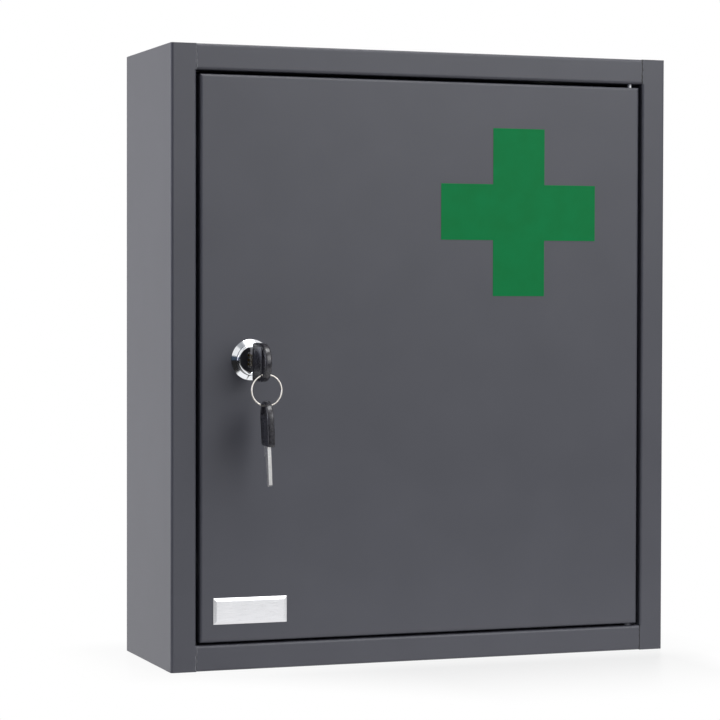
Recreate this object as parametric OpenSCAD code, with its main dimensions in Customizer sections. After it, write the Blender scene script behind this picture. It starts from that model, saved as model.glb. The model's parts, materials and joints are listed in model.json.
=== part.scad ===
// Lockable wall cabinet for medicines: folded sheet-steel body and door, pivot hinges,
// wafer cam lock with two keys on a ring. Millimetres. The origin is the centre of the
// cabinet's underside, +X is to the right of someone facing the door, +Y goes back to
// the wall and +Z is up. The door is closed and unlocked, with the key in the lock.

/* [Cabinet] */
// Overall width
cabinet_w = 312; // [270:1:400]
// Overall height
cabinet_h = 360; // [320:1:460]
// Overall depth
cabinet_d = 100; // [90:1:150]
// Thickness of the steel sheet
sheet = 0.8; // [0.6:0.1:1]
// Outside radius of the sheet's bends
bend_r = 1.6; // [1.4:0.1:2.2]
// Face width of the stiles and rails round the door
frame_w = 15; // [13:0.5:20]
// Depth of the folded edge round the door opening, and of the door
lip_depth = 16; // [16:0.5:20]
// Width of the flanges that hold the back panel
rear_flange = 15; // [10:0.5:20]
// Depth of the top and bottom panels' side flanges
side_flange = 12; // [8:0.5:12]
// Gap where two welded panels butt together
seam = 0.2; // [0.1:0.05:0.4]

/* [Wall holes] */
// Diameter of the four wall screw holes
wall_hole_d = 6; // [4:0.5:8]
// From the cabinet's side to a hole's centre
wall_hole_side = 36; // [30:1:60]
// From the cabinet's top or underside to a hole's centre
wall_hole_end = 40; // [30:1:60]

/* [Door] */
// Gap between the door's long edges and the stiles
gap_side = 2.2; // [1.8:0.1:3]
// Gap over the door
gap_top = 2.2; // [1.6:0.1:3]
// Gap under the door
gap_bottom = 1.4; // [1.2:0.1:3]
// Width of the inward folds along the door's back edges
door_return = 10; // [8:0.5:12]

/* [Hinge pins] */
// Diameter of the pins
pin_d = 3; // [2.5:0.1:3.4]
// From the edge of the opening to the pins' axis
pin_side = 6.6; // [6.2:0.1:7.5]
// From the front face to the pins' axis
pin_back = 4.6; // [4.2:0.1:5]
// Running clearance round a pin in the door, on the radius
pin_play = 0.05; // [0.03:0.01:0.1]
// How far a pin reaches into the door
pin_reach = 6; // [4:0.5:10]
// Diameter of the pins' heads
pin_head_d = 6; // [5:0.5:7]
// Thickness of the pins' heads
pin_head_t = 1.2; // [1:0.1:2]
// Diameter of the lower pin's collar, which carries the door
pin_collar_d = 4.6; // [4:0.1:5]

/* [Shelves] */
// Height of the lower shelf's top face
lower_shelf_z = 122; // [90:1:140]
// Height of the upper shelf's top face
upper_shelf_z = 238; // [200:1:270]
// Height of the shelves' upturned edges
shelf_edge = 12; // [8:0.5:16]
// Gap between the door's back and the shelves' front edges
shelf_setback = 6; // [6:0.5:15]
// Gap at each end and behind a shelf
shelf_play = 1; // [0.5:0.1:2]
// Length of a shelf bracket
bracket_l = 56; // [40:1:60]
// Width of a shelf bracket's two legs
bracket_leg = 12; // [10:0.5:16]
// Thickness of a shelf bracket
bracket_t = 1; // [0.8:0.1:1.2]

/* [Door stops] */
// Height of a stop bracket
stop_h = 16; // [12:1:24]
// From the opening's top or bottom edge to a stop's centre
stop_inset = 45; // [30:1:60]
// Length of the stop bracket's leg on the stile
stop_leg = 15; // [10:0.5:18]
// Diameter of the rubber buffers
buffer_d = 8; // [6:0.5:9]
// Thickness of the rubber buffers
buffer_t = 2; // [1.5:0.1:3]
// Clearance between the closed door and its buffers
buffer_gap = 0.3; // [0.2:0.05:0.5]

/* [Cross and name plate] */
// Width and height of the cross
cross_size = 100; // [60:1:120]
// Width of the cross's arms
cross_arm = 33.3; // [20:0.1:40]
// From the door's right edge to the cross
cross_side = 29.4; // [20:0.1:60]
// From the door's top edge to the cross
cross_top = 26.8; // [20:0.1:60]
// Thickness of the cross's film
film_t = 0.15; // [0.1:0.05:0.3]
// Width of the name plate
plate_w = 44.4; // [30:0.1:60]
// Height of the name plate
plate_h = 15.2; // [10:0.1:20]
// Thickness of the name plate
plate_t = 1; // [0.6:0.1:1.5]
// Width of the name plate's bevel
plate_bevel = 1.8; // [1:0.1:3]
// From the door's left edge to the name plate
plate_side = 7.9; // [5:0.1:20]
// From the door's bottom edge to the name plate
plate_low = 10.4; // [5:0.1:20]

/* [Lock] */
// From the door's left edge to the lock's axis
lock_inset = 30.3; // [26:0.1:45]
// From the door's bottom edge to the lock's axis
lock_rise = 162.7; // [120:0.1:200]
// Diameter of the lock's bezel
bezel_d = 23.6; // [22:0.2:26]
// How far the bezel stands proud of the door
bezel_h = 3; // [2.5:0.1:4]
// Outer diameter of the raised ring round the plug
collar_d = 17.6; // [17:0.1:18.4]
// Diameter of the lock's barrel
barrel_d = 19; // [18.6:0.1:20]
// Width across the barrel's two flats
barrel_flat = 16; // [15:0.5:17]
// Diameter of the plug's head
plug_head_d = 14.4; // [14:0.1:15]
// Diameter of the plug's body
plug_d = 12.8; // [12:0.1:13]
// Length of the plug's head
plug_head_l = 2.8; // [2.4:0.1:3.5]
// How far the plug's face lies inside the raised ring
plug_recess = 0.6; // [0.4:0.1:1]
// Running clearance round the plug, on the radius
plug_play = 0.05; // [0.03:0.01:0.1]
// Clearance between the door's frame edge and the cam
cam_gap = 0.4; // [0.3:0.05:0.8]
// How far the cam reaches past the edge of the opening
cam_catch = 4.2; // [3:0.1:6]
// Width of the cam
cam_w = 12; // [10:0.5:14]
// Thickness of the cam
cam_t = 2; // [1.5:0.1:2.5]
// Diameter of the cam's round hub
cam_hub_d = 17; // [16:0.5:18]
// Side of the square boss that turns the cam
boss_w = 7; // [6:0.5:8]
// Width across the lock nut's flats
nut_w = 22; // [21.5:0.5:24]
// Thickness of the lock nut
nut_t = 4; // [3:0.5:5]
// Diameter of the cam screw
screw_d = 4; // [3:0.5:4]
// Diameter of the cam screw's head
screw_head_d = 7.6; // [7:0.1:9]
// Height of the cam screw's head
screw_head_h = 2.6; // [2:0.1:3]
// Diameter of the washer under the screw's head
washer_d = 11; // [10:0.5:13]
// Thickness of the washer under the screw's head
washer_t = 0.8; // [0.6:0.1:1]
// Width of the three grooves beside the keyway
ward_w = 1.3; // [1:0.1:1.5]
// How far these grooves reach from the keyway
ward_reach = 1.6; // [1:0.1:2]
// Number of wafers
wafer_count = 5; // [3:1:5]
// Distance from one wafer to the next
wafer_pitch = 2.1; // [1.9:0.1:2.2]
// Width of a wafer
wafer_w = 5.6; // [5:0.1:6]
// Thickness of a wafer
wafer_t = 0.6; // [0.5:0.05:0.8]

/* [Keys and ring] */
// Length of a key's head
head_l = 26; // [24:0.5:30]
// Width of a key's head, whose outer end is a half round
head_w = 22; // [21:0.1:25]
// From the blade's middle to the head's middle, away from the cuts
head_drop = 1; // [0:0.1:1.5]
// Thickness of a key's head at its rim
head_t = 4; // [3:0.1:5]
// Corner radius of a key's head at its inner end
head_corner = 1.6; // [1:0.1:2]
// Width of the raised rim of a key's head
head_rim = 2.2; // [1.5:0.1:2.4]
// Depth of the faces inside that rim
head_dish = 0.4; // [0.2:0.1:0.8]
// Width of the ring slot, at the middle of the head
slot_w = 6; // [5:0.1:6.5]
// Width of the round bar between the slot and the head's outer end
slot_bar = 2.2; // [2:0.1:3]
// Length of a key's neck, from the head to the plug's face
neck_l = 6.3; // [4:0.1:8]
// How far a key's neck stands out towards the cuts, from the blade's middle
neck_reach = 7; // [4:0.1:7]
// Length of a key's blade beyond the neck
blade_l = 16.7; // [16:0.1:17]
// Width of a key's blade
blade_w = 7; // [6:0.1:7.4]
// Thickness of a key's blade
blade_t = 2; // [1.6:0.1:2.2]
// Clearance round a blade in the keyway
keyway_gap = 0.1; // [0.05:0.01:0.2]
// Outer diameter of the key ring
ring_d = 18.8; // [18:0.1:22]
// Diameter of the ring's wire
ring_wire = 1; // [0.9:0.05:1.3]
// Clearance between the ring's wire and the key heads
ring_gap = 0.12; // [0.1:0.01:0.3]
// How far the ring hangs to the right of the lock's axis
ring_side = 1; // [0:0.1:1.2]
// Turn of the spare key about its length
spare_twist = -6.5; // [-12:0.5:12]
// Lean of the spare key towards the right, downwards
spare_lean = 2.5; // [0:0.5:3]

/* [Hidden] */
$fn = 64;

// Clearance between parts that are fixed to each other
fit = 0.1;
// Depth by which a cut runs past the face it opens
over = 1;
// Gap kept between two parts that move past each other
running = 0.2;

front_y = -cabinet_d / 2;
rear_y = cabinet_d / 2;
bend_in = bend_r - sheet;

// Door opening and door
open_x = cabinet_w / 2 - frame_w;
open_z0 = frame_w;
open_z1 = cabinet_h - frame_w;
door_w = 2 * (open_x - gap_side);
door_z0 = open_z0 + gap_bottom;
door_z1 = open_z1 - gap_top;
door_h = door_z1 - door_z0;
door_left = -door_w / 2;
door_rear_y = front_y + lip_depth;
pin_x = open_x - pin_side;
pin_y = front_y + pin_back;

// Inside of the body
inner_x = cabinet_w / 2 - sheet;
panel_x = inner_x - fit;
rail_x = open_x - seam;
back_front_y = rear_y - 2 * sheet;
shelf_front_y = door_rear_y + shelf_setback;
shelf_rear_y = back_front_y - shelf_play;
shelf_mid_y = (shelf_front_y + shelf_rear_y) / 2;

// Lock, measured outwards from the door's face
lock_x = door_left + lock_inset;
lock_z = door_z0 + lock_rise;
plug_face = bezel_h - plug_recess;
plug_step = plug_face - plug_head_l;
cam_face = -(lip_depth + cam_gap);
barrel_end = cam_face + running;
cam_l = lock_inset + gap_side + cam_catch;
boss_end = cam_face - cam_t + fit;
keyway_end = plug_face - blade_l - running;
screw_hole_l = 3;
first_wafer = -2.2;

// Keys, measured from a head's inner end towards its outer end
arch_u = head_l - head_w / 2;
arch_slot_r = head_w / 2 - slot_bar;
slot_u = head_l - slot_bar - slot_w;
tang_l = 10;
tang_w = 6;
cut_depths = [0.7, 1.5, 1, 1.9, 1.2];
cut_flat = 0.7;
tip_cut = 2;
tip_step = 0.5;
head_face = plug_face + neck_l;
ring_r = (ring_d - ring_wire) / 2;

// How far the ring's wire falls from its top to a head's face a given way off
function wire_fall(off) = ring_r - sqrt(ring_r * ring_r - off * off);

// The ring's wire lies in the lower corner of the slot of the key in the lock
wire_gap = ring_wire / 2 + ring_gap;
wire_arc_r = arch_slot_r - wire_gap - wire_fall(head_t / 2 + ring_side);
wire_u = slot_u + wire_gap;
ring_x = lock_x + ring_side;
ring_y = front_y - head_face - wire_u;
ring_top_z = lock_z - head_drop - sqrt(wire_arc_r * wire_arc_r - (wire_u - arch_u) * (wire_u - arch_u));
ring_low_z = ring_top_z - 2 * ring_r;

// The spare key hangs with the middle of its slot's arc on the ring's lowest point
spare_clear = wire_gap + wire_fall(head_t / 2) + head_t / 2 * tan(spare_lean);
spare_u = head_l - slot_bar - spare_clear;

paint = [0.33, 0.33, 0.36];
zinc = [0.72, 0.73, 0.75];
chrome = [0.86, 0.86, 0.88];
nickel = [0.78, 0.76, 0.7];
black = [0.08, 0.08, 0.09];
rubber = [0.15, 0.15, 0.15];
green = [0.11, 0.45, 0.26];

// ---- Profiles ----

// Folded sheet in section: flat runs of the given outside lengths, each turning left into
// the next through a right-angle bend. The outer face starts along +X at the origin.
module folded(runs, t = sheet, r = bend_r, i = 0) {
    is_last = i == len(runs) - 1;
    flat = runs[i] - (i == 0 ? 0 : r) - (is_last ? 0 : r);
    square([flat, t]);
    if (!is_last) {
        translate([flat, r])
            difference() {
                intersection() {
                    circle(r);
                    translate([0, -r])
                        square(r);
                }
                circle(r - t);
            }
        translate([flat + r, r])
            rotate(90)
                folded(runs, t, r, i + 1);
    }
}

// Rectangle from the origin with four round corners
module rounded(w, h, r) {
    translate([r, 0])
        square([w - 2 * r, h]);
    translate([0, r])
        square([w, h - 2 * r]);
    for (x = [r, w - r], y = [r, h - r])
        translate([x, y])
            circle(r);
}

// Extrudes a section drawn in Y and Z along X, both ways from the middle
module along_x(length) {
    rotate([90, 0, 90])
        linear_extrude(length, center = true)
            children();
}

// Extrudes a section drawn in X and Z back along Y, from y0
module along_y(y0, length) {
    translate([0, y0 + length, 0])
        rotate([90, 0, 0])
            linear_extrude(length)
                children();
}

module on_right() {
    mirror([1, 0, 0])
        children();
}

module upside_down() {
    translate([0, 0, cabinet_h])
        mirror([0, 0, 1])
            children();
}

// ---- Body ----

// The section that all four sides of the body share, with or without the lip of the opening
module body_section(with_lip) {
    if (with_lip)
        folded([rear_flange, cabinet_d, frame_w, lip_depth]);
    else
        folded([rear_flange, cabinet_d, frame_w]);
}

module side_panel_layer(z0, z1, with_lip) {
    translate([rear_flange - cabinet_w / 2, rear_y, z0])
        rotate(180)
            linear_extrude(z1 - z0)
                body_section(with_lip);
}

module side_panel() {
    side_panel_layer(0, open_z0, false);
    side_panel_layer(open_z0, open_z1, true);
    side_panel_layer(open_z1, cabinet_h, false);
}

module left_side_panel() {
    color(paint)
        side_panel();
}

module right_side_panel() {
    color(paint)
        on_right()
            side_panel();
}

// Ears of an end panel that fill the corners inside the stiles and the rear flanges
module end_panel_ears() {
    ear_x = inner_x - bend_in - fit;
    ear_y = rear_y - sheet - fit;
    flange_y = door_rear_y + bend_r;
    for (side = [0, 1])
        mirror([side, 0, 0])
            translate([rail_x, 0, cabinet_h - sheet]) {
                translate([0, -ear_y, 0])
                    cube([ear_x - rail_x, ear_y + flange_y, sheet]);
                translate([0, back_front_y - bend_r, 0])
                    cube([ear_x - rail_x - bend_r, ear_y - back_front_y + bend_r, sheet]);
            }
}

module end_panel() {
    flange_y = door_rear_y + bend_r;
    difference() {
        union() {
            along_x(2 * rail_x)
                translate([rear_y, cabinet_h - rear_flange])
                    rotate(90)
                        body_section(true);
            along_y(flange_y, back_front_y - fit - flange_y)
                translate([panel_x, cabinet_h - side_flange])
                    rotate(90)
                        folded([side_flange, 2 * panel_x, side_flange]);
            end_panel_ears();
        }
        translate([pin_x, pin_y, open_z1 - over])
            cylinder(d = pin_d, h = sheet + 2 * over);
    }
}

module top_panel() {
    color(paint)
        end_panel();
}

module bottom_panel() {
    color(paint)
        upside_down()
            end_panel();
}

module back_panel() {
    back_x = inner_x - bend_in - fit;
    back_z = bend_r + fit;
    hole_x = cabinet_w / 2 - wall_hole_side;
    color(paint)
        difference() {
            translate([-back_x, back_front_y, back_z])
                cube([2 * back_x, sheet, cabinet_h - 2 * back_z]);
            for (x = [-hole_x, hole_x], z = [wall_hole_end, cabinet_h - wall_hole_end])
                translate([x, rear_y, z])
                    rotate([90, 0, 0])
                        cylinder(d = wall_hole_d, h = 2 * sheet + over);
        }
}

// ---- Shelves ----

module shelf(top_z) {
    color(paint)
        along_x(2 * (inner_x - shelf_play))
            translate([shelf_front_y, top_z - sheet + shelf_edge])
                rotate(-90)
                    folded([shelf_edge, shelf_rear_y - shelf_front_y, shelf_edge]);
}

module bracket(shelf_z) {
    color(zinc)
        along_y(shelf_mid_y - bracket_l / 2, bracket_l)
            translate([bracket_leg - inner_x, shelf_z - sheet])
                rotate(180)
                    folded([bracket_leg, bracket_leg], bracket_t, bracket_t + bend_in);
}

module upper_shelf() {
    shelf(upper_shelf_z);
}

module lower_shelf() {
    shelf(lower_shelf_z);
}

module upper_left_bracket() {
    bracket(upper_shelf_z);
}

module upper_right_bracket() {
    on_right()
        bracket(upper_shelf_z);
}

module lower_left_bracket() {
    bracket(lower_shelf_z);
}

module lower_right_bracket() {
    on_right()
        bracket(lower_shelf_z);
}

// ---- Hinge pins ----

// Pin pushed through the lip from its hollow side: head, shank and a collar of the given height
module hinge_pin(gap, collar_h) {
    shank_end = sheet + gap + pin_reach;
    chamfer = pin_d / 6;
    color(zinc)
        rotate_extrude()
            polygon([
                [0, -pin_head_t], [pin_head_d / 2, -pin_head_t], [pin_head_d / 2, 0],
                [pin_d / 2, 0], [pin_d / 2, sheet],
                if (collar_h > 0) [pin_collar_d / 2, sheet],
                if (collar_h > 0) [pin_collar_d / 2, sheet + collar_h],
                if (collar_h > 0) [pin_d / 2, sheet + collar_h],
                [pin_d / 2, shank_end - chamfer], [pin_d / 2 - chamfer, shank_end], [0, shank_end]
            ]);
}

module upper_hinge_pin() {
    translate([pin_x, pin_y, open_z1 + sheet])
        mirror([0, 0, 1])
            hinge_pin(gap_top, 0);
}

module lower_hinge_pin() {
    translate([pin_x, pin_y, open_z0 - sheet])
        hinge_pin(gap_bottom, gap_bottom - buffer_gap);
}

// ---- Door stops ----

buffer_x = door_left + door_return / 2;
buffer_rear_y = door_rear_y + buffer_gap + buffer_t;

// Angle fixed to the hollow side of the lock stile's lip, with its foot behind the door
module stop_bracket(z) {
    foot_x = buffer_x + buffer_d / 2 + bend_r;
    leg_x = -(open_x + 2 * sheet);
    color(zinc)
        translate([foot_x, buffer_rear_y + sheet, z - stop_h / 2])
            rotate(180)
                linear_extrude(stop_h)
                    folded([foot_x - leg_x, stop_leg]);
}

module buffer(z) {
    color(rubber)
        translate([buffer_x, buffer_rear_y, z])
            rotate([90, 0, 0])
                cylinder(d = buffer_d, h = buffer_t);
}

module upper_stop_bracket() {
    stop_bracket(open_z1 - stop_inset);
}

module lower_stop_bracket() {
    stop_bracket(open_z0 + stop_inset);
}

module upper_buffer() {
    buffer(open_z1 - stop_inset);
}

module lower_buffer() {
    buffer(open_z0 + stop_inset);
}

// ---- Door ----

// Block with rounded long edges, as large as the door less an inset on every side
module door_block(inset) {
    r = bend_r - inset;
    deep = lip_depth - 2 * inset;
    intersection() {
        translate([door_left + inset, front_y + inset, door_z0 + inset])
            linear_extrude(door_h - 2 * inset)
                rounded(door_w - 2 * inset, deep, r);
        along_x(door_w - 2 * inset)
            translate([front_y + inset, door_z0 + inset])
                rounded(deep, door_h - 2 * inset, r);
    }
}

module door_panel() {
    color(paint)
        difference() {
            door_block(0);
            door_block(sheet);
            translate([door_left + door_return, door_rear_y - sheet - over, door_z0 + door_return])
                cube([door_w - 2 * door_return, sheet + 2 * over, door_h - 2 * door_return]);
            translate([pin_x, pin_y, door_z0 - over])
                cylinder(r = pin_d / 2 + pin_play, h = door_h + 2 * over);
            at_lock()
                intersection() {
                    cylinder(r = barrel_d / 2 + fit, h = 3 * sheet, center = true);
                    cube([barrel_flat + 2 * fit, barrel_d + over, 3 * sheet], center = true);
                }
        }
}

module green_cross() {
    arm_in = (cross_size - cross_arm) / 2;
    color(green)
        translate([-door_left - cross_side - cross_size, front_y, door_z1 - cross_top - cross_size])
            rotate([90, 0, 0])
                linear_extrude(film_t) {
                    translate([arm_in, 0])
                        square([cross_arm, cross_size]);
                    translate([0, arm_in])
                        square([cross_size, cross_arm]);
                }
}

// Side view of the plate: its bevelled front towards -Y
module plate_section(length) {
    edge_t = plate_t / 3;
    polygon([
        [0, 0], [length, 0], [length, edge_t], [length - plate_bevel, plate_t],
        [plate_bevel, plate_t], [0, edge_t]
    ]);
}

module name_plate() {
    color(chrome)
        translate([door_left + plate_side, front_y, door_z0 + plate_low])
            intersection() {
                mirror([0, 1, 0])
                    linear_extrude(plate_h)
                        plate_section(plate_w);
                translate([plate_w, 0, 0])
                    rotate([90, 0, -90])
                        rotate(90)
                            mirror([0, 1, 0])
                                linear_extrude(plate_w)
                                    plate_section(plate_h);
            }
}

// ---- Lock ----

// Puts +Z out of the door along the lock's axis, with the door's face at zero
module at_lock() {
    translate([lock_x, front_y, lock_z])
        rotate([90, 0, 0])
            children();
}

module lock_housing() {
    bezel_edge = 0.7;
    groove = 0.4;
    cone_top = bezel_h - 0.5;
    collar_r = collar_d / 2;
    head_bore = plug_head_d / 2 + plug_play;
    bore = plug_d / 2 + plug_play;
    step = plug_step - fit;
    channel_h = plug_d + 3;
    color(chrome)
        at_lock()
            difference() {
                rotate_extrude()
                    polygon([
                        [bore, barrel_end], [barrel_d / 2, barrel_end], [barrel_d / 2, 0],
                        [bezel_d / 2, 0], [bezel_d / 2, bezel_edge], [collar_r + groove, cone_top],
                        [collar_r, cone_top - groove], [collar_r, bezel_h - groove / 2],
                        [collar_r - groove / 2, bezel_h], [head_bore + groove / 2, bezel_h],
                        [head_bore, bezel_h - groove / 2], [head_bore, step], [bore, step]
                    ]);
                for (side = [0, 1])
                    mirror([side, 0, 0])
                        translate([barrel_flat / 2, -barrel_d / 2, barrel_end - over])
                            cube([barrel_d, barrel_d, over - barrel_end]);
                translate([-wafer_w / 2 - fit, -channel_h / 2, barrel_end - over])
                    cube([wafer_w + 2 * fit, channel_h, over - barrel_end + first_wafer + wafer_t + fit]);
            }
}

module lock_nut() {
    color(zinc)
        at_lock()
            translate([0, 0, -sheet - nut_t])
                difference() {
                    cylinder(d = nut_w / cos(30), h = nut_t, $fn = 6);
                    translate([0, 0, -over])
                        cylinder(r = barrel_d / 2 + fit, h = nut_t + 2 * over);
                }
}

module at_wafers() {
    for (i = [0 : wafer_count - 1])
        translate([0, 0, first_wafer - i * wafer_pitch])
            children();
}

module keyway(gap, end) {
    translate([-blade_t / 2 - gap, -blade_w / 2 - gap, end])
        cube([blade_t + 2 * gap, blade_w + 2 * gap, plug_face + over - end]);
}

module lock_plug() {
    head_r = plug_head_d / 2;
    body_r = plug_d / 2;
    chamfer = 0.3;
    color(black)
        at_lock()
            difference() {
                union() {
                    rotate_extrude()
                        polygon([
                            [0, cam_face], [body_r, cam_face], [body_r, plug_step], [head_r, plug_step],
                            [head_r, plug_face - chamfer], [head_r - chamfer, plug_face], [0, plug_face]
                        ]);
                    translate([-boss_w / 2, -boss_w / 2, boss_end])
                        cube([boss_w, boss_w, cam_face - boss_end]);
                }
                keyway(keyway_gap, keyway_end);
                for (i = [-1 : 1])
                    translate([-blade_t / 2 - ward_reach, 2 * i * ward_w - ward_w / 2, plug_face - ward_w])
                        cube([ward_reach, ward_w, ward_w + over]);
                at_wafers()
                    cube([wafer_w + fit, plug_d + over, wafer_t + fit], center = true);
                translate([0, 0, boss_end - over])
                    cylinder(d = screw_d + fit, h = screw_hole_l + over);
            }
}

module lock_wafers() {
    color([0.75, 0.62, 0.3])
        at_lock()
            at_wafers()
                linear_extrude(wafer_t, center = true)
                    difference() {
                        intersection() {
                            circle(d = plug_d);
                            square([wafer_w, plug_d], center = true);
                        }
                        square([blade_t + 2 * running, blade_w + 2 * running], center = true);
                    }
}

module lock_cam() {
    end_r = cam_w / 4;
    color(zinc)
        at_lock()
            translate([0, 0, cam_face - cam_t])
                linear_extrude(cam_t)
                    difference() {
                        union() {
                            circle(d = cam_hub_d);
                            translate([-cam_w / 2, -cam_l])
                                rounded(cam_w, cam_l, end_r);
                        }
                        square(boss_w + fit, center = true);
                    }
}

module cam_washer() {
    color(zinc)
        at_lock()
            translate([0, 0, cam_face - cam_t - washer_t])
                linear_extrude(washer_t)
                    difference() {
                        circle(d = washer_d);
                        circle(d = screw_d + 2 * fit);
                    }
}

module cam_screw() {
    seat = cam_face - cam_t - washer_t;
    shank = boss_end + screw_hole_l - seat - running;
    slot = 1;
    color(zinc)
        at_lock()
            translate([0, 0, seat])
                difference() {
                    rotate_extrude()
                        polygon([
                            [0, -screw_head_h], [screw_head_d / 2 - slot / 2, -screw_head_h],
                            [screw_head_d / 2, slot / 2 - screw_head_h], [screw_head_d / 2, 0],
                            [screw_d / 2, 0], [screw_d / 2, shank], [0, shank]
                        ]);
                    for (a = [0, 90])
                        rotate(a)
                            translate([-screw_head_d / 3, -slot / 2, -screw_head_h - over])
                                cube([screw_head_d * 2 / 3, slot, slot + over]);
                }
}

// ---- Keys ----

// A key is drawn flat: its blade points along -X, its head's inner end is at zero,
// and its cuts are on the +Y edge.

// Points along the cuts, each with a flat bottom and sides at 45 degrees
function cut_points(first, edge) = [
    for (i = [0 : wafer_count - 1])
        let (
            u = first - i * wafer_pitch,
            depth = cut_depths[i],
            before = i == 0 ? 0 : (depth + cut_depths[i - 1] - wafer_pitch + cut_flat) / 2
        )
        each [
            [u + cut_flat / 2 + depth - before, edge - before],
            [u + cut_flat / 2, edge - depth],
            [u - cut_flat / 2, edge - depth]
        ]
];

// Outline of the neck, the tang inside the head and the blade with its cuts
module blade_outline() {
    edge = blade_w / 2;
    shoulder = running - neck_l;
    tip = -neck_l - blade_l;
    first = first_wafer - head_face;
    last = first - (wafer_count - 1) * wafer_pitch;
    rise = cut_depths[wafer_count - 1] - tip_step;
    polygon(concat(
        [[tang_l, -tang_w / 2], [tang_l, tang_w / 2], [0, tang_w / 2], [0, neck_reach]],
        [[shoulder, neck_reach], [shoulder, edge]],
        cut_points(first, edge),
        [[last - cut_flat / 2 - rise, edge - tip_step], [tip + tip_cut, edge - tip_step]],
        [[tip, 0], [tip + tip_cut / 2, -edge], [0, -edge], [0, -tang_w / 2]]
    ));
}

module blade() {
    groove_w = 1.4;
    groove_d = 0.5;
    color(nickel)
        difference() {
            linear_extrude(blade_t, center = true)
                blade_outline();
            translate([-neck_l - blade_l - over, -groove_w, blade_t / 2 - groove_d])
                cube([blade_l + over + running, groove_w, groove_d + over]);
        }
}

// Outline of a key's head, drawn in by the given inset: half round outside, square inside
module head_outline(inset = 0) {
    r = head_w / 2 - inset;
    translate([arch_u, -head_drop])
        circle(r);
    translate([inset + head_corner, -r - head_drop])
        square([arch_u - inset - head_corner, 2 * r]);
    translate([inset, -r - head_drop])
        rounded(arch_u - inset, 2 * r, head_corner);
}

module head() {
    color(black)
        difference() {
            translate([0, 0, -head_t / 2])
                linear_extrude(head_t)
                    difference() {
                        head_outline();
                        intersection() {
                            translate([arch_u, -head_drop])
                                circle(arch_slot_r);
                            translate([slot_u, -head_w])
                                square(2 * head_w);
                        }
                    }
            for (side = [0, 1])
                mirror([0, 0, side])
                    translate([0, 0, head_t / 2 - head_dish])
                        linear_extrude(head_dish + over)
                            intersection() {
                                head_outline(head_rim);
                                translate([0, -head_w])
                                    square([slot_u - head_rim, 2 * head_w]);
                            }
            translate([-over, -tang_w / 2, -blade_t / 2])
                cube([tang_l + over, tang_w, blade_t]);
        }
}

// The key in the lock: its head stands out of the door, upright
module in_lock() {
    translate([lock_x, front_y - head_face, lock_z])
        rotate([90, 0, -90])
            children();
}

// The spare key hangs from the ring, blade down, its cuts to the back
module on_ring() {
    translate([ring_x, ring_y, ring_low_z])
        rotate([0, -spare_lean, 0])
            rotate([0, -90, spare_twist])
                translate([-spare_u, head_drop, 0])
                    children();
}

module key_blade() {
    in_lock()
        blade();
}

module key_head() {
    in_lock()
        head();
}

module key_ring() {
    color(chrome)
        translate([ring_x, ring_y, ring_top_z - ring_r])
            rotate([90, 0, 0])
                rotate_extrude()
                    translate([ring_r, 0])
                        circle(d = ring_wire, $fn = 32);
}

module spare_key_blade() {
    on_ring()
        blade();
}

module spare_key_head() {
    on_ring()
        head();
}

left_side_panel();
right_side_panel();
top_panel();
bottom_panel();
back_panel();
upper_shelf();
lower_shelf();
upper_left_bracket();
upper_right_bracket();
lower_left_bracket();
lower_right_bracket();
upper_hinge_pin();
lower_hinge_pin();
upper_stop_bracket();
lower_stop_bracket();
upper_buffer();
lower_buffer();
door_panel();
green_cross();
name_plate();
lock_housing();
lock_nut();
lock_plug();
lock_wafers();
lock_cam();
cam_washer();
cam_screw();
key_blade();
key_head();
key_ring();
spare_key_blade();
spare_key_head();
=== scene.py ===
"""Finishes for the lockable medicine cabinet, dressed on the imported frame. Lengths are metres."""
import json
from math import cos, radians, sin, tan

import bpy
from mathutils import Matrix, Vector


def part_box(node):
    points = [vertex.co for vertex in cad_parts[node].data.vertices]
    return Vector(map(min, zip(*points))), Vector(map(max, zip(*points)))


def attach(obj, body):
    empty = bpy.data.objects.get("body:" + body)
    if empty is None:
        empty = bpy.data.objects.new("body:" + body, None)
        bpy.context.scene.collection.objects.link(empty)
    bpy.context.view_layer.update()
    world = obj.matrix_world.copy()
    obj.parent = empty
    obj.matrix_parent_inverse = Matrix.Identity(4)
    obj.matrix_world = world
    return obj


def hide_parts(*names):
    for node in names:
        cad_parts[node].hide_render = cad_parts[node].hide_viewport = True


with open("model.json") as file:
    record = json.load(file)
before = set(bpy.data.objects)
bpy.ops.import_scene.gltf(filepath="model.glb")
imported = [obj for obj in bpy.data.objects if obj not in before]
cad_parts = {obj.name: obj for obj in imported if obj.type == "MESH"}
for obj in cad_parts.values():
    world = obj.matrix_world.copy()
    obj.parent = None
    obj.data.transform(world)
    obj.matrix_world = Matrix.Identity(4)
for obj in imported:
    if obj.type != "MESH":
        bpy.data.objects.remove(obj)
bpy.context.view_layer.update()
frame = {"nodes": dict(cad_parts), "record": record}

MM = 0.001
NODES = frame["nodes"]
FRONT_Y = -50 * MM                                     # the door's face
RAIL_H = 15 * MM                                       # the top and bottom rails
SEAM_X, CASE_MIDDLE_Z = 140.9 * MM, 180 * MM           # the corner seams, and half the case's height
LOCK_X, LOCK_Z = -108.5 * MM, 179.1 * MM               # the lock's axis
COLLAR_IN, COLLAR_OUT = 7.45 * MM, 8.6 * MM            # radii of the flat of the lock's collar
COLLAR_FACE = FRONT_Y - 3.1 * MM, FRONT_Y - 2.9 * MM   # Y just before and behind that flat
PLUG_FACE = FRONT_Y - 2.6 * MM, FRONT_Y - 2.2 * MM     # and the plug's face
HEAD_Y = FRONT_Y - 8.7 * MM                            # inner end of the head of the key in the lock
COAT_DARK, COAT_LIGHT = "4a4b54", "4e4f58"
FILM_DARK, FILM_LIGHT = "068144", "0a864a"


# ---- Colours and nodes ----

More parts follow.
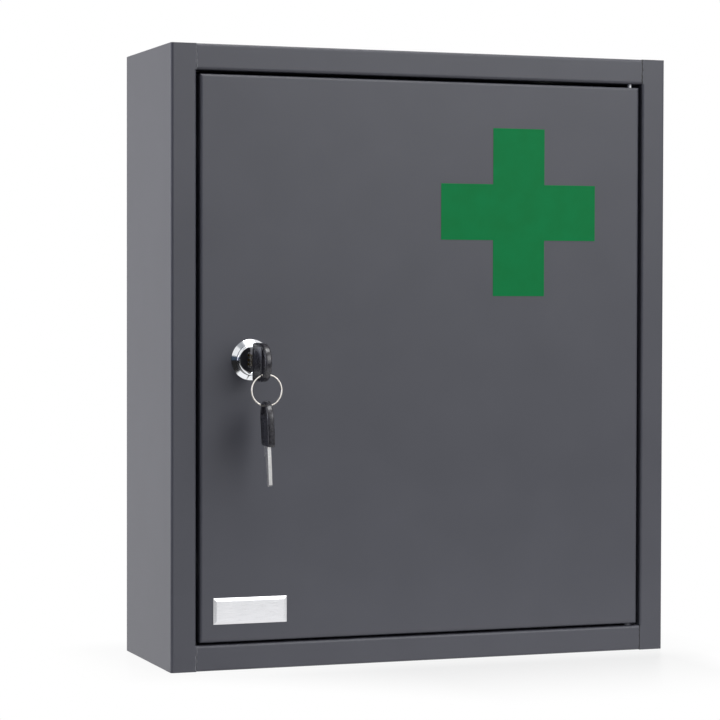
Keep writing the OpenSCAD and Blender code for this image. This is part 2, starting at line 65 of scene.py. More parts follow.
MULTIPLY, MAXIMUM = {"operation": "MULTIPLY"}, {"operation": "MAXIMUM"}    # settings of Math nodes


def srgb(text):
    """A hex colour such as "62636a", as linear RGBA."""
    values = [int(text[i:i + 2], 16) / 255 for i in (0, 2, 4)]
    return tuple(v / 12.92 if v <= 0.04045 else ((v + 0.055) / 1.055) ** 2.4 for v in values) + (1.0,)


def add_node(tree, kind, settings=None, links=None):
    """Adds a node. settings are its properties or input values, and links are input: (node, output)."""
    node = tree.nodes.new("ShaderNode" + kind)
    for name, value in (settings or {}).items():
        if isinstance(name, str) and hasattr(node, name):
            setattr(node, name, value)
        else:
            node.inputs[name].default_value = value
    for name, (source, output) in (links or {}).items():
        tree.links.new(source.outputs[output], node.inputs[name])
    return node


def new_material(name, **shader):
    """A material with a Principled shader and the object's own coordinates. Returns all four."""
    material = bpy.data.materials.new(name)
    material.use_nodes = True
    tree = material.node_tree
    surface = tree.nodes["Principled BSDF"]
    for socket, value in shader.items():
        surface.inputs[socket.replace("_", " ")].default_value = value
    place = add_node(tree, "TexCoord")
    return material, tree, surface, place


def stretched(tree, place, size_mm):
    """The object's coordinates, scaled so that one unit is this many millimetres along X, Y and Z."""
    scale = [1 / (mm * MM) for mm in size_mm]
    return add_node(tree, "Mapping", {"Scale": scale}, {"Vector": (place, "Object")})


def noise(tree, place, size_mm, detail=3.0):
    """Noise whose features are about size_mm across along X, Y and Z."""
    grid = stretched(tree, place, size_mm)
    return add_node(tree, "TexNoise", {"Scale": 1.0, "Detail": detail}, {"Vector": (grid, "Vector")})


def spread(tree, source, low, high, start=0.3, stop=0.7):
    """Maps a noise's middle range to low .. high."""
    return add_node(tree, "MapRange", {"From Min": start, "From Max": stop, "To Min": low, "To Max": high},
                    {"Value": source})


def set_roughness(tree, surface, source, low, high):
    rough = spread(tree, source, low, high)
    tree.links.new(rough.outputs["Result"], surface.inputs["Roughness"])


def set_bump(tree, surface, source, depth_mm, strength=1.0):
    bump = add_node(tree, "Bump", {"Strength": strength, "Distance": depth_mm * MM}, {"Height": source})
    tree.links.new(bump.outputs["Normal"], surface.inputs["Normal"])


def mix_colour(tree, factor, first, second):
    """Mixes two colours, each a hex text or a node's (node, output), by a factor from a node."""
    settings, links = {}, {"Fac": factor}
    for socket, colour in (("Color1", first), ("Color2", second)):
        if isinstance(colour, str):
            settings[socket] = srgb(colour)
        else:
            links[socket] = colour
    return add_node(tree, "MixRGB", settings, links)


def set_colour(tree, surface, factor, first, second):
    mixed = mix_colour(tree, factor, first, second)
    tree.links.new(mixed.outputs["Color"], surface.inputs["Base Color"])


def within(tree, source, low, high):
    """1 between low and high, else 0."""
    middle, half = (low + high) / 2, (high - low) / 2
    return add_node(tree, "Math", {"operation": "COMPARE", 1: middle, 2: half}, {0: source})


def within_size(tree, source, low, high):
    """1 where the value, leaving out its sign, is between low and high, else 0."""
    size = add_node(tree, "Math", {"operation": "ABSOLUTE"}, {0: source})
    return within(tree, (size, "Value"), low, high)


def ramp(tree, source, start, stop):
    """0 on start's side and 1 on stop's side, even in between. Returns the node's output."""
    return add_node(tree, "MapRange", {"From Min": start, "From Max": stop}, {"Value": source}), "Result"


# ---- Materials ----

def powder_coat():
    """Polyester powder coat, sprayed and baked: dark grey and satin, with a fine orange peel that
    softens reflections, and very slight clouds where it lies thicker. On the case's front, at the welded
    corner seams, light and shade are painted: a pale highlight on the left seam, where light from the
    left catches it, and a dark line of shade in the open seam on the right."""
    material, tree, surface, place = new_material("satin_grey_powder_coat", IOR=1.5)
    cloud = noise(tree, place, (45, 45, 45), 2.0)
    shade = spread(tree, (cloud, "Fac"), 0.0, 1.0)
    coat = mix_colour(tree, (shade, "Result"), COAT_DARK, COAT_LIGHT)
    parts = add_node(tree, "SeparateXYZ", {}, {"Vector": (place, "Object")})
    level = add_node(tree, "Math", {"operation": "SUBTRACT", 1: CASE_MIDDLE_Z}, {0: (parts, "Z")})
    corner = within_size(tree, (level, "Value"), CASE_MIDDLE_Z - RAIL_H, CASE_MIDDLE_Z)
    front = within(tree, (parts, "Y"), FRONT_Y - 0.1 * MM, FRONT_Y + 0.6 * MM)
    welded = add_node(tree, "Math", MULTIPLY, {0: (corner, "Value"), 1: (front, "Value")})
    uneven = noise(tree, place, (1.5, 1.5, 2.5), 3.0)
    wander = spread(tree, (uneven, "Fac"), -0.5 * MM, 0.5 * MM)
    line = add_node(tree, "Math", {"operation": "ADD"}, {0: (parts, "X"), 1: (wander, "Result")})
    left = within(tree, (line, "Value"), -SEAM_X - 0.35 * MM, -SEAM_X + 0.35 * MM)
    right = within(tree, (line, "Value"), SEAM_X - 0.3 * MM, SEAM_X + 0.3 * MM)
    # painted light at the seams: the pale line on the left is a painted highlight, the dark line on the right
    # is painted shade in the open seam
    pale = add_node(tree, "Math", MULTIPLY, {0: (welded, "Value"), 1: (left, "Value")})
    dark = add_node(tree, "Math", MULTIPLY, {0: (welded, "Value"), 1: (right, "Value")})
    wear_and_highlight = mix_colour(tree, (pale, "Value"), (coat, "Color"), "77787f")
    final = mix_colour(tree, (dark, "Value"), (wear_and_highlight, "Color"), "242529")
    tree.links.new(final.outputs["Color"], surface.inputs["Base Color"])
    grain = noise(tree, place, (0.5, 0.5, 0.5), 2.0)
    set_roughness(tree, surface, (grain, "Fac"), 0.38, 0.46)
    peel = noise(tree, place, (1.4, 1.4, 1.4), 3.0)
    set_bump(tree, surface, (peel, "Fac"), 0.012)
    return material


def zinc_plate():
    """Bright zinc plating on steel: pale and slightly blue, with cloudy grains."""
    material, tree, surface, place = new_material("zinc_plated_steel", Metallic=1.0)
    cloud = noise(tree, place, (3, 3, 3), 4.0)
    shade = spread(tree, (cloud, "Fac"), 0.0, 1.0)
    set_colour(tree, surface, (shade, "Result"), "b4b8be", "cfd0d0")
    set_roughness(tree, surface, (cloud, "Fac"), 0.24, 0.42)
    return material


def chrome_plate():
    """Bright chrome on a zinc casting: a near mirror, with faint handling marks. The collar round the
    plug is rolled over, which bends what it mirrors."""
    material, tree, surface, place = new_material(
        "chromed_zinc_casting", Metallic=1.0, Base_Color=srgb("e6e8eb"))
    marks = noise(tree, place, (1.5, 1.5, 0.15), 4.0)
    set_roughness(tree, surface, (marks, "Fac"), 0.05, 0.13)
    axis = (LOCK_X, 0, LOCK_Z)
    around = add_node(tree, "VectorMath", {"operation": "SUBTRACT", 1: axis}, {0: (place, "Object")})
    flat = add_node(tree, "VectorMath", {"operation": "MULTIPLY", 1: (1, 0, 1)}, {0: (around, "Vector")})
    reach = add_node(tree, "VectorMath", {"operation": "LENGTH"}, {0: (flat, "Vector")})
    outward = add_node(tree, "VectorMath", {"operation": "NORMALIZE"}, {0: (flat, "Vector")})
    tilt = spread(tree, (reach, "Value"), 0.15, 1.0, COLLAR_IN, COLLAR_OUT)
    parts = add_node(tree, "SeparateXYZ", {}, {"Vector": (place, "Object")})
    collar = within(tree, (reach, "Value"), COLLAR_IN, COLLAR_OUT)
    front = within(tree, (parts, "Y"), *COLLAR_FACE)
    rolled = add_node(tree, "Math", MULTIPLY, {0: (collar, "Value"), 1: (front, "Value")})
    lean = add_node(tree, "Math", MULTIPLY, {0: (rolled, "Value"), 1: (tilt, "Result")})
    push = add_node(tree, "VectorMath", {"operation": "SCALE"},
                    {0: (outward, "Vector"), "Scale": (lean, "Value")})
    facing = add_node(tree, "NewGeometry")
    bent = add_node(tree, "VectorMath", {"operation": "ADD"}, {0: (facing, "Normal"), 1: (push, "Vector")})
    normal = add_node(tree, "VectorMath", {"operation": "NORMALIZE"}, {0: (bent, "Vector")})
    tree.links.new(normal.outputs["Vector"], surface.inputs["Normal"])
    return material


def black_casting():
    """Black-finished zinc casting: the lock's plug, granular and slightly glossy, worn back to bright
    metal round the keyway."""
    material, tree, surface, place = new_material("black_finished_zinc_casting")
    grain = noise(tree, place, (0.35, 0.35, 0.35), 4.0)
    dark = spread(tree, (grain, "Fac"), 0.0, 1.0, 0.35, 0.8)
    shade = mix_colour(tree, (dark, "Result"), "08080d", "34353f")
    parts = add_node(tree, "SeparateXYZ", {}, {"Vector": (place, "Object")})
    beside = within(tree, (parts, "X"), LOCK_X - 2.3 * MM, LOCK_X - 0.8 * MM)
    level = within(tree, (parts, "Z"), LOCK_Z - 4.4 * MM, LOCK_Z + 4.4 * MM)
    front = within(tree, (parts, "Y"), *PLUG_FACE)
    zone = add_node(tree, "Math", MULTIPLY, {0: (beside, "Value"), 1: (level, "Value")})
    wear_and_highlight = noise(tree, place, (0.5, 0.5, 0.45), 3.0)
    patches = spread(tree, (wear_and_highlight, "Fac"), 0.0, 1.0, 0.5, 0.56)
    face = add_node(tree, "Math", MULTIPLY, {0: (zone, "Value"), 1: (front, "Value")})
    worn = add_node(tree, "Math", MULTIPLY, {0: (face, "Value"), 1: (patches, "Result")})
    inside = add_node(tree, "Math", {"operation": "SUBTRACT", 0: 1.0}, {1: (front, "Value")})
    groove = add_node(tree, "Math", MULTIPLY, {0: (zone, "Value"), 1: (inside, "Value")})
    golden = mix_colour(tree, (groove, "Value"), (shade, "Color"), "6a5a24")
    final = mix_colour(tree, (worn, "Value"), (golden, "Color"), "f2f2f4")
    tree.links.new(final.outputs["Color"], surface.inputs["Base Color"])
    metal = add_node(tree, "Math", MAXIMUM, {0: (worn, "Value"), 1: (groove, "Value")})
    tree.links.new(metal.outputs["Value"], surface.inputs["Metallic"])
    set_roughness(tree, surface, (grain, "Fac"), 0.25, 0.45)
    set_bump(tree, surface, (grain, "Fac"), 0.05)
    return material


def brass():
    """Rolled brass, stamped: warm, with the strip's fine grain."""
    material, tree, surface, place = new_material("rolled_brass", Metallic=1.0)
    grain = noise(tree, place, (0.1, 1.5, 1.5), 3.0)
    shade = spread(tree, (grain, "Fac"), 0.0, 1.0)
    set_colour(tree, surface, (shade, "Result"), "b08a42", "d0b068")
    set_roughness(tree, surface, (grain, "Fac"), 0.25, 0.4)
    return material


def nickel_plate():
    """Nickel plating on milled key blanks: white metal whose fine scratches scatter some of the light,
    so that it stays pale where it faces the door. The neck in the lock is rubbed to brass and soiled."""
    material, tree, surface, place = new_material("nickel_plated_key_steel")
    lines = noise(tree, place, (0.12, 2.0, 2.0), 3.0)
    shade = spread(tree, (lines, "Fac"), 0.0, 1.0)
    plating = mix_colour(tree, (shade, "Result"), "dcdbd9", "f4f3f2")
    parts = add_node(tree, "SeparateXYZ", {}, {"Vector": (place, "Object")})
    level = within(tree, (parts, "Z"), LOCK_Z - 4.6 * MM, LOCK_Z + 3.2 * MM)
    front = within(tree, (parts, "Y"), HEAD_Y, PLUG_FACE[1])
    neck = add_node(tree, "Math", MULTIPLY, {0: (level, "Value"), 1: (front, "Value")})
    rub = noise(tree, place, (1.1, 1.1, 1.1), 3.0)
    bare = spread(tree, (rub, "Fac"), 0.0, 1.0, 0.4, 0.5)
    brassy = add_node(tree, "Math", MULTIPLY, {0: (neck, "Value"), 1: (bare, "Result")})
    soil = spread(tree, (rub, "Fac"), 0.0, 1.0, 0.52, 0.56)
    worn = mix_colour(tree, (soil, "Result"), "7c6c3c", "16140f")
    final = mix_colour(tree, (brassy, "Value"), (plating, "Color"), (worn, "Color"))
    tree.links.new(final.outputs["Color"], surface.inputs["Base Color"])
    metal = add_node(tree, "Math", {"operation": "MULTIPLY_ADD", 1: -0.35, 2: 0.55}, {0: (front, "Value")})
    tree.links.new(metal.outputs["Value"], surface.inputs["Metallic"])
    set_roughness(tree, surface, (lines, "Fac"), 0.12, 0.28)
    set_bump(tree, surface, (lines, "Fac"), 0.003)
    return material


def moulded_plastic():
    """Black moulded nylon of the key heads: glossy, over a fine spark-eroded grain and with the blotches
    that handling leaves."""
    material, tree, surface, place = new_material("black_moulded_nylon", IOR=1.55)
    blotch = noise(tree, place, (1.6, 1.6, 1.6), 3.0)
    grain = noise(tree, place, (0.45, 0.45, 0.45), 3.0)
    shade = spread(tree, (blotch, "Fac"), 0.0, 1.0, 0.38, 0.62)
    set_colour(tree, surface, (shade, "Result"), "1f1e24", "3c3b42")
    set_roughness(tree, surface, (grain, "Fac"), 0.18, 0.32)
    set_bump(tree, surface, (grain, "Fac"), 0.018)
    return material


def rubber():
    """Black moulded rubber of the door's buffers: matt, with a dusty bloom."""
    material, tree, surface, place = new_material("black_moulded_rubber", IOR=1.5)
    bloom = noise(tree, place, (2, 2, 2), 3.0)
    shade = spread(tree, (bloom, "Fac"), 0.0, 1.0)
    set_colour(tree, surface, (shade, "Result"), "171717", "262524")
    set_roughness(tree, surface, (bloom, "Fac"), 0.6, 0.8)
    return material


def vinyl_film():
    """Green self-adhesive film: even in colour and matt, so that it stays green where the coat beside
    it shines, and it follows the coat's peel faintly."""
    material, tree, surface, place = new_material("green_vinyl_film", IOR=1.46, Specular_IOR_Level=0.12)
    cloud = noise(tree, place, (12, 12, 12), 2.0)
    shade = spread(tree, (cloud, "Fac"), 0.0, 1.0)
    set_colour(tree, surface, (shade, "Result"), FILM_DARK, FILM_LIGHT)
    set_roughness(tree, surface, (cloud, "Fac"), 0.42, 0.5)
    peel = noise(tree, place, (1.4, 1.4, 1.4), 2.0)
    set_bump(tree, surface, (peel, "Fac"), 0.006)
    return material


def brushed_aluminium():
    """Brushed and anodised aluminium of the name plate: fine lines along its length."""
    material, tree, surface, place = new_material("brushed_aluminium", Metallic=1.0)
    lines = noise(tree, place, (9, 0.12, 0.12), 3.0)
    shade = spread(tree, (lines, "Fac"), 0.0, 1.0)
    set_colour(tree, surface, (shade, "Result"), "d8d8db", "ececee")
    set_roughness(tree, surface, (lines, "Fac"), 0.25, 0.38)
    set_bump(tree, surface, (lines, "Fac"), 0.004)
    return material


def spring_steel():
    """Nickel-plated spring wire of the split ring: bright, slightly warm, with drawing lines."""
    material, tree, surface, place = new_material("nickel_plated_spring_wire", Metallic=1.0)
    lines = noise(tree, place, (0.8, 0.08, 0.8), 3.0)
    shade = spread(tree, (lines, "Fac"), 0.0, 1.0)
    set_colour(tree, surface, (shade, "Result"), "d0cac2", "ece8e2")
    set_roughness(tree, surface, (lines, "Fac"), 0.06, 0.16)
    return material


FINISHES = {
    "grey_powder_coat": powder_coat(), "zinc_plate": zinc_plate(), "lock_chrome": chrome_plate(),
    "black_zinc": black_casting(), "wafer_brass": brass(), "key_nickel": nickel_plate(),
    "key_plastic": moulded_plastic(), "buffer_rubber": rubber(), "green_film": vinyl_film(),
    "bare_aluminium": brushed_aluminium(), "ring_steel": spring_steel(),
}
for part in frame["record"]["subparts"]:
    mesh = NODES[part["node"]].data
    mesh.materials.clear()
    mesh.materials.append(FINISHES[part["material_slot"]])


# ---- Modelling helpers ----

def whole(obj):
    """Leaves edit mode and makes obj the only selected and active object."""
    if bpy.context.mode != "OBJECT":
        bpy.ops.object.mode_set(mode="OBJECT")
    bpy.ops.object.select_all(action="DESELECT")
    obj.select_set(True)
    bpy.context.view_layer.objects.active = obj


def finish_mesh(obj):
    """Merges double vertices and turns all faces outwards."""
    whole(obj)
    bpy.ops.object.mode_set(mode="EDIT")
    bpy.ops.mesh.select_all(action="SELECT")
    bpy.ops.mesh.remove_doubles(threshold=0.001 * MM)
    bpy.ops.mesh.normals_make_consistent(inside=False)
    bpy.ops.object.mode_set(mode="OBJECT")


def pick(obj, rule):
    """Selects the vertices, and with them the edges and faces, for which rule(place) is true."""
    whole(obj)
    bpy.ops.object.mode_set(mode="EDIT")
    bpy.ops.mesh.select_mode(type="VERT")
    bpy.ops.mesh.select_all(action="DESELECT")
    bpy.ops.object.mode_set(mode="OBJECT")
    for vertex in obj.data.vertices:
        vertex.select = rule(vertex.co)
    bpy.ops.object.mode_set(mode="EDIT")
    bpy.ops.mesh.select_mode(type="VERT")


def combine(obj, tool, operation):
    """Joins tool to obj or cuts it from obj, and removes tool."""
    change = obj.modifiers.new("combine", "BOOLEAN")
    change.operation = operation
    change.object = tool
    change.solver = "EXACT"
    whole(obj)
    bpy.ops.object.modifier_apply(modifier=change.name)
    bpy.data.objects.remove(tool)


def soften(obj, width, segments):
    """Rounds the edges that turn by more than 40 degrees."""
    change = obj.modifiers.new("soften", "BEVEL")
    change.width = width
    change.segments = segments
    change.limit_method = "ANGLE"
    change.angle_limit = radians(40)
    whole(obj)
    bpy.ops.object.modifier_apply(modifier=change.name)


def put(obj, name, place, slot, body, node):
    """Moves a finished mesh to its place, dresses it and lets it stand for a CAD node."""
    obj.data.transform(place)
    obj.name = name
    finish_mesh(obj)
    obj.data.materials.clear()
    obj.data.materials.append(FINISHES[slot])
    bpy.ops.object.shade_smooth_by_angle(angle=radians(35))
    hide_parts(node)
    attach(obj, body)


# ---- Key heads ----
# A head is drawn flat, as in the CAD: its inner end is at zero, its outer end towards +X and the
# cuts' side of the key towards +Y.

HEAD_L, HEAD_W, HEAD_T, HEAD_DROP = 26 * MM, 22 * MM, 4 * MM, 1 * MM
HEAD_RIM, HEAD_DISH, HEAD_CORNER = 2.2 * MM, 0.4 * MM, 1.6 * MM
SLOT_W, SLOT_BAR = 6 * MM, 2.2 * MM
ARCH_U = HEAD_L - HEAD_W / 2
SLOT_U = HEAD_L - SLOT_BAR - SLOT_W


def arch(radius, start, corner, low, high):
    """A slab with a half-round outer end of that radius, reaching back to start, with rounded
    corners there, between the heights low and high."""
    bpy.ops.object.select_all(action="DESELECT")
    bpy.ops.mesh.primitive_circle_add(vertices=144, radius=radius, fill_type="NGON",
                                      location=(ARCH_U, -HEAD_DROP, low))
    obj = bpy.context.object
    bpy.ops.object.transform_apply(location=True)
    bpy.ops.object.mode_set(mode="EDIT")
    bpy.ops.mesh.select_all(action="SELECT")
    cut = max(start, ARCH_U)
    bpy.ops.mesh.bisect(plane_co=(cut, 0, 0), plane_no=(1, 0, 0), use_fill=False, clear_inner=True)
    if start < ARCH_U:
        pick(obj, lambda co: abs(co.x - cut) < 0.01 * MM)
        bpy.ops.mesh.extrude_region_move(TRANSFORM_OT_translate={"value": (start - cut, 0, 0)})
        pick(obj, lambda co: abs(co.x - start) < 0.01 * MM)
        bpy.ops.mesh.bevel(affect="VERTICES", offset=corner, segments=6)
    bpy.ops.mesh.select_all(action="SELECT")
    bpy.ops.mesh.dissolve_limited(angle_limit=radians(0.1))
    bpy.ops.mesh.select_all(action="SELECT")
    bpy.ops.mesh.extrude_region_move(TRANSFORM_OT_translate={"value": (0, 0, high - low)})
    bpy.ops.object.mode_set(mode="OBJECT")
    finish_mesh(obj)
    return obj


def moulded_head():
    """A moulded head: an arch with a ring slot, dished faces and rounded edges."""
    head = arch(HEAD_W / 2, 0, HEAD_CORNER, -HEAD_T / 2, HEAD_T / 2)
    soften(head, 1.1 * MM, 6)
    reach = HEAD_T
    combine(head, arch(HEAD_W / 2 - SLOT_BAR, SLOT_U, 0, -reach, reach), "DIFFERENCE")
    for low, high in ((HEAD_T / 2 - HEAD_DISH, reach), (-reach, HEAD_DISH - HEAD_T / 2)):
        dish = arch(HEAD_W / 2 - HEAD_RIM, HEAD_RIM, HEAD_CORNER, low, high)
        whole(dish)
        bpy.ops.object.mode_set(mode="EDIT")
        bpy.ops.mesh.select_all(action="SELECT")
        bpy.ops.mesh.bisect(plane_co=(SLOT_U - HEAD_RIM, 0, 0), plane_no=(1, 0, 0), use_fill=True,
                            clear_outer=True)
        bpy.ops.object.mode_set(mode="OBJECT")
        combine(head, dish, "DIFFERENCE")
    soften(head, 0.35 * MM, 3)
    return head


LOCK_FRAME = Matrix.Translation((LOCK_X, HEAD_Y, LOCK_Z)) @ Matrix(
    ((0, 0, -1, 0), (-1, 0, 0, 0), (0, 1, 0, 0), (0, 0, 0, 1)))
ring_low, ring_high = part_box("key_ring")
RING = (Vector(ring_low) + Vector(ring_high)) / 2
RING_R = (ring_high[2] - ring_low[2]) / 2
WIRE = ring_high[1] - ring_low[1]
WIRE_R = RING_R - WIRE / 2                               # the ring's radius at the wire's middle
RING_GAP = 0.12 * MM                                     # between the ring and a head's bar
SPARE_LEAN, SPARE_TWIST = radians(-2.5), radians(-6.5)   # how the spare key hangs
HALF_HEAD = HEAD_T / 2
WIRE_FALL = WIRE_R - (WIRE_R ** 2 - HALF_HEAD ** 2) ** 0.5    # what the ring curves over a head's thickness
SPARE_U = HEAD_L - SLOT_BAR - (WIRE / 2 + RING_GAP + WIRE_FALL - HALF_HEAD * tan(SPARE_LEAN))
SPARE_FRAME = (
    Matrix.Translation((RING.x, RING.y, ring_low[2] + WIRE / 2))
    @ Matrix.Rotation(SPARE_LEAN, 4, "Y") @ Matrix.Rotation(SPARE_TWIST, 4, "Z")
    @ Matrix.Rotation(radians(-90), 4, "Y") @ Matrix.Translation((-SPARE_U, HEAD_DROP, 0)))
grip = moulded_head()
spare_grip = grip.copy()
spare_grip.data = grip.data.copy()
bpy.context.collection.objects.link(spare_grip)
put(grip, "key_grip", LOCK_FRAME, "key_plastic", "key", "key_head")
put(spare_grip, "spare_key_grip", SPARE_FRAME, "key_plastic", "spare_key", "spare_key_head")


# ---- Split ring ----

TURN_WIDE, TURN_DEEP = WIRE * 0.4, WIRE * 0.84    # the flattened wire of one turn
TURN_OFFSET = WIRE * 0.205                        # from the ring's middle plane to that of a turn
GAP_OPEN = WIRE * 0.35                            # the opening at a turn's ends

def coil(side, gap_angle):
    """One turn of flattened wire, open by a narrow gap."""
    bpy.ops.object.select_all(action="DESELECT")
    bpy.ops.mesh.primitive_plane_add(size=1, location=(WIRE_R, 0, 0))
    turn = bpy.context.object
    turn.scale = (TURN_DEEP, TURN_WIDE, 1)
    bpy.ops.object.transform_apply(location=True, scale=True)
    bpy.ops.object.mode_set(mode="EDIT")
    bpy.ops.mesh.select_all(action="SELECT")
    bpy.ops.mesh.bevel(affect="VERTICES", offset=TURN_WIDE * 0.47, segments=5)
    bpy.ops.object.mode_set(mode="OBJECT")
    pick(turn, lambda co: True)
    bpy.ops.mesh.delete(type="ONLY_FACE")
    bpy.ops.mesh.select_all(action="SELECT")
    bpy.ops.mesh.spin(steps=128, angle=radians(360), center=(0, 0, 0), axis=(0, 1, 0), use_auto_merge=True)
    bpy.ops.object.mode_set(mode="OBJECT")
    finish_mesh(turn)
    bpy.ops.object.select_all(action="DESELECT")
    bpy.ops.mesh.primitive_cube_add(size=1, location=(0, 0, 0))
    gap = bpy.context.object
    gap.scale = (WIRE * 3, WIRE * 2, GAP_OPEN)
    gap.location = (RING_R * cos(gap_angle), 0, RING_R * sin(gap_angle))
    gap.rotation_euler = (0, -gap_angle, 0)
    combine(turn, gap, "DIFFERENCE")
    turn.data.transform(Matrix.Translation((0, side * TURN_OFFSET, 0)))
    return turn


front_turn = coil(-1, radians(-38))
rear_turn = coil(1, radians(-30))
whole(front_turn)
rear_turn.select_set(True)
bpy.ops.object.join()
put(front_turn, "split_ring", Matrix.Translation(RING), "ring_steel", "ring", "key_ring")


# ---- Studio ----

SKY = 0.04                            # what matt surfaces get from all round
BOUNCE = 0.5                          # and from the table close by
DIM_ROOM = (0.045, 0.065, 0.1, 1)     # the room in front, as shiny surfaces see it
EDGE_SLANT, EDGE_X = 0.94, (-0.068, -0.056)    # dark edge on the table's left: X less this share of Y
TABLE_Y = (-0.75, -0.22)              # where the table in front brightens for shiny surfaces
BESIDE_Y = (-0.12, -0.03)             # and where it does so past the edge too, beside the cabinet
NEAR_Y = (-0.22, -0.17)               # from here back the table lights matt surfaces
CLEAN_BESIDE = 0.93                   # share of the table that is plain white to the camera at the foot
CLEAN_AHEAD = 0.71                    # the same in front of the cabinet, where its soft shadow lies
REACH_BESIDE, REACH_AHEAD = 0.055, 0.18        # how far from the foot it takes to reach all white

def white_room(world):
    """White for the camera. What shines sees a white cove behind the cabinet and a white ceiling,
    but a dim room in front, with one gap in the ceiling's lamps."""
    world.use_nodes = True
    tree = world.node_tree
    path = add_node(tree, "LightPath")
    way = add_node(tree, "TexCoord")
    parts = add_node(tree, "SeparateXYZ", {}, {"Vector": (way, "Generated")})
    ceiling = ramp(tree, (parts, "Z"), 0.16, 0.26)
    cove = ramp(tree, (parts, "Y"), -0.05, 0.2)
    lit = add_node(tree, "Math", MAXIMUM, {0: ceiling, 1: cove})
    gap_way = Vector((-0.30, -0.54, 0.74)).normalized()
    toward = add_node(tree, "VectorMath", {"operation": "DOT_PRODUCT", 1: gap_way}, {0: (way, "Generated")})
    gap = ramp(tree, (toward, "Value"), cos(radians(13)), cos(radians(8)))
    clear = add_node(tree, "Math", {"operation": "MULTIPLY_ADD", 1: -0.6, 2: 1.0}, {0: gap})
    room = add_node(tree, "Math", MULTIPLY, {0: (lit, "Value"), 1: (clear, "Value")})
    dim = add_node(tree, "MixRGB", {1: DIM_ROOM, 2: (1, 1, 1, 1)}, {0: (room, "Value")})
    shiny = add_node(tree, "Math", MAXIMUM, {0: (path, "Is Glossy Ray"), 1: (path, "Is Transmission Ray")})
    soft = add_node(tree, "MixRGB", {1: (SKY, SKY, SKY, 1)}, {0: (shiny, "Value"), 2: (dim, "Color")})
    final = add_node(tree, "MixRGB", {2: (1, 1, 1, 1)}, {0: (path, "Is Camera Ray"), 1: (soft, "Color")})
    tree.links.new(final.outputs["Color"], tree.nodes["Background"].inputs["Color"])
    tree.nodes["Background"].inputs["Strength"].default_value = 1.0


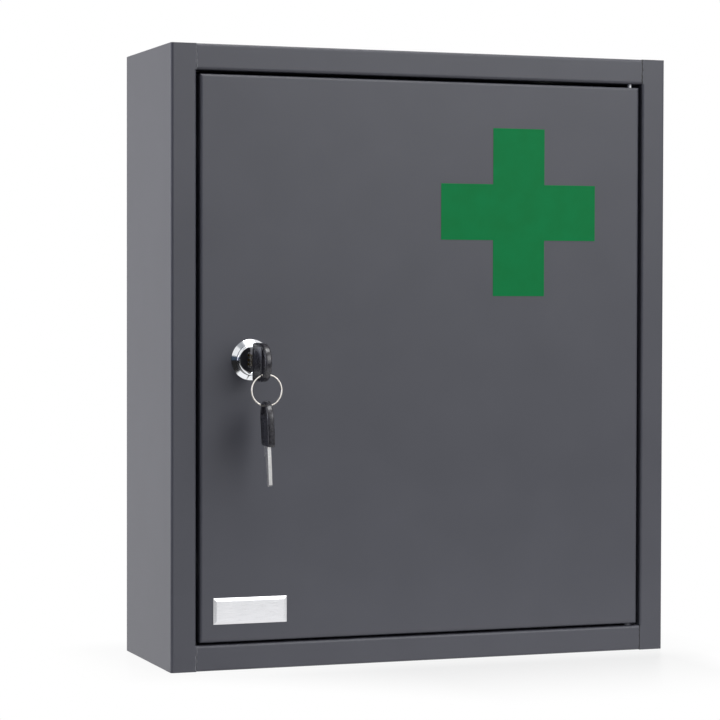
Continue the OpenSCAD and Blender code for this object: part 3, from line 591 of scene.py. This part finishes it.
def white_floor():
    """A white table top, plain white to the camera but for a soft shadow, mostly in front of the
    cabinet, and a faint reflection at its foot. What shines sees it brightest close by, and dark past
    an edge on the left."""
    bpy.ops.mesh.primitive_plane_add(size=8)
    floor = bpy.context.object
    floor.name = "floor"
    material = bpy.data.materials.new("white_table_top")
    material.use_nodes = True
    tree = material.node_tree
    surface = tree.nodes["Principled BSDF"]
    surface.inputs["Base Color"].default_value = (0.85, 0.85, 0.85, 1)
    surface.inputs["Roughness"].default_value = 0.3
    path = add_node(tree, "LightPath")
    place = add_node(tree, "NewGeometry")
    parts = add_node(tree, "SeparateXYZ", {}, {"Vector": (place, "Position")})
    slanted = add_node(tree, "Math", {"operation": "MULTIPLY_ADD", 1: -EDGE_SLANT},
                       {0: (parts, "Y"), 2: (parts, "X")})
    right = ramp(tree, (slanted, "Value"), *EDGE_X)
    out = ramp(tree, (parts, "Y"), *TABLE_Y)
    table = add_node(tree, "Math", MULTIPLY, {0: right, 1: out})
    beside = ramp(tree, (parts, "Y"), *BESIDE_Y)
    white = add_node(tree, "Math", MAXIMUM, {0: (table, "Value"), 1: beside})
    shine = add_node(tree, "MapRange", {"To Min": 0.02, "To Max": 1.1}, {"Value": (white, "Value")})
    near = ramp(tree, (parts, "Y"), *NEAR_Y)
    bounce = add_node(tree, "Math", {"operation": "MULTIPLY", 1: BOUNCE}, {0: near})
    glossy = add_node(tree, "MixRGB", {},
                      {0: (path, "Is Glossy Ray"), 1: (bounce, "Value"), 2: (shine, "Result")})
    strength = add_node(tree, "MixRGB", {2: (1, 1, 1, 1)}, {0: (path, "Is Camera Ray"), 1: (glossy, "Color")})
    glow = add_node(tree, "Emission", {"Strength": 1.0}, {"Color": (strength, "Color")})
    low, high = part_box("back_panel")
    middle = ((low[0] + high[0]) / 2, (FRONT_Y + high[1]) / 2, 0)
    half = ((high[0] - low[0]) / 2, (high[1] - FRONT_Y) / 2, 1)
    offset = add_node(tree, "VectorMath", {"operation": "SUBTRACT", 1: middle}, {0: (place, "Position")})
    folded = add_node(tree, "VectorMath", {"operation": "ABSOLUTE"}, {0: (offset, "Vector")})
    beyond = add_node(tree, "VectorMath", {"operation": "SUBTRACT", 1: half}, {0: (folded, "Vector")})
    outside = add_node(tree, "VectorMath", {"operation": "MAXIMUM", 1: (0, 0, 0)}, {0: (beyond, "Vector")})
    away = add_node(tree, "VectorMath", {"operation": "LENGTH"}, {0: (outside, "Vector")})
    ahead = ramp(tree, (parts, "Y"), FRONT_Y + 0.01, FRONT_Y - 0.03)
    along = ramp(tree, (parts, "X"), low[0], low[0] + 0.14)
    short = ramp(tree, (parts, "X"), high[0] + 0.02, high[0] - 0.01)
    below = add_node(tree, "Math", MULTIPLY, {0: along, 1: short})
    shadow = add_node(tree, "Math", MULTIPLY, {0: ahead, 1: (below, "Value")})
    least = spread(tree, (shadow, "Value"), CLEAN_BESIDE, CLEAN_AHEAD, 0.0, 1.0)
    reach = spread(tree, (shadow, "Value"), REACH_BESIDE, REACH_AHEAD, 0.0, 1.0)
    clean = add_node(tree, "MapRange", {"interpolation_type": "SMOOTHSTEP"},
                     {"Value": (away, "Value"), "From Max": (reach, "Result"), "To Min": (least, "Result")})
    camera = add_node(tree, "MixRGB", {1: (0.5, 0.5, 0.5, 1)},
                      {0: (path, "Is Camera Ray"), 2: (clean, "Result")})
    share = add_node(tree, "Math", MAXIMUM, {0: (camera, "Color"), 1: (path, "Is Glossy Ray")})
    mix = add_node(tree, "MixShader", {}, {0: (share, "Value"), 1: (surface, "BSDF"), 2: (glow, "Emission")})
    tree.links.new(mix.outputs["Shader"], tree.nodes["Material Output"].inputs["Surface"])
    floor.data.materials.append(material)


def softbox(name, place, size, power, colour=(1, 1, 1)):
    """A rectangular light that faces the cabinet's middle."""
    light = bpy.data.objects.new(name, bpy.data.lights.new(name, "AREA"))
    bpy.context.scene.collection.objects.link(light)
    light.data.shape = "RECTANGLE"
    light.data.size, light.data.size_y = size
    light.data.energy = power
    light.data.color = colour
    light.location = place
    light.rotation_euler = (Vector((0, 0, CASE_MIDDLE_Z)) - Vector(place)).to_track_quat("-Z", "Y").to_euler()


def studio():
    """Camera 20 degrees to the cabinet's left, nearly level, a white room and seven softboxes."""
    scene = bpy.context.scene
    scene.view_settings.view_transform = "Standard"
    camera = bpy.data.objects.new("camera", bpy.data.cameras.new("camera"))
    scene.collection.objects.link(camera)
    camera.data.sensor_width = 36
    camera.data.lens = 127.17
    camera.location = (-0.5508, -1.4485, 0.2168)
    camera.rotation_euler = (radians(90 - 1.475), radians(-0.13), radians(-20.01))
    scene.camera = camera
    scene.world = bpy.data.worlds.new("studio")
    white_room(scene.world)
    white_floor()
    cool = (0.93, 0.94, 1.14)
    softbox("front_right", (0.9, -1.9, 0.55), (1.7, 1.4), 10.3)
    softbox("high_right", (0.95, -1.7, 1.15), (1.5, 1.1), 12.5)
    softbox("glint", (0.0, -1.9, 0.1), (0.3, 0.3), 0.6)
    softbox("over", (0.15, -0.4, 1.7), (1.0, 0.6), 12.0)
    softbox("side_back", (-1.6, 1.0, 0.5), (1.4, 0.9), 5.3, cool)
    softbox("side_low", (-1.6, 0.9, 0.2), (1.2, 0.4), 1.8, cool)
    softbox("side_front", (-2.1, -0.3, 0.5), (0.9, 0.9), 3.5, cool)


studio()
